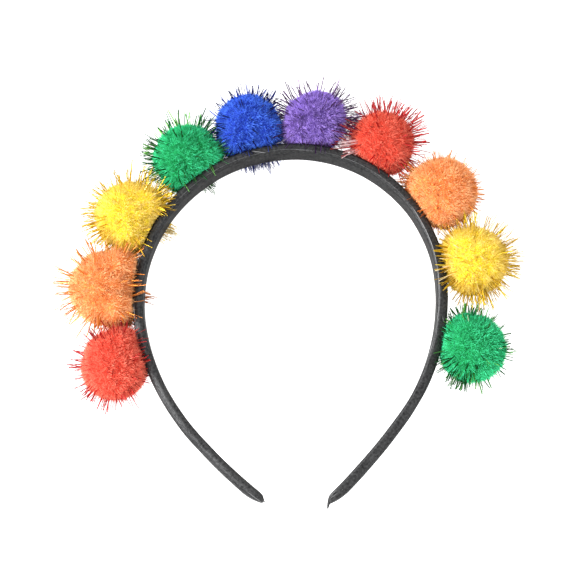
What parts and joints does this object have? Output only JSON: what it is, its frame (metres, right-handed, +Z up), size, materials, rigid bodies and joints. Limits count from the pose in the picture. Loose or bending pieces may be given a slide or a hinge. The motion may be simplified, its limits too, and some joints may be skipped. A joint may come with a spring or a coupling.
{
  "type": "pompom headband",
  "caption": "Springy headband covered in black satin ribbon, open at the back, with fluffy tinsel pompoms in rainbow colours along its outer face.",
  "frame": {"origin": "on the surface that the headband lies on, below the middle of its box", "axes": "+Z up from that surface, +Y from the open tips towards the crown, +X to the right as seen from above"},
  "size_m": [0.1866, 0.1744, 0.0318],
  "materials": {
    "satin_black": "satin ribbon with a soft sheen",
    "tinsel_red": "cut pile with metallic tinsel",
    "tinsel_orange": "cut pile with metallic tinsel",
    "tinsel_yellow": "cut pile with metallic tinsel",
    "tinsel_green": "cut pile with metallic tinsel",
    "tinsel_blue": "cut pile with metallic tinsel",
    "tinsel_purple": "cut pile with metallic tinsel"
  },
  "bodies": {
    "root": {"band": "satin_black", "pompom_red_left": "tinsel_red", "pompom_orange_left": "tinsel_orange", "pompom_yellow_left": "tinsel_yellow", "pompom_green_left": "tinsel_green", "pompom_blue": "tinsel_blue", "pompom_purple": "tinsel_purple", "pompom_red_right": "tinsel_red", "pompom_orange_right": "tinsel_orange", "pompom_yellow_right": "tinsel_yellow", "pompom_green_right": "tinsel_green"}
  },
  "joints": []
}
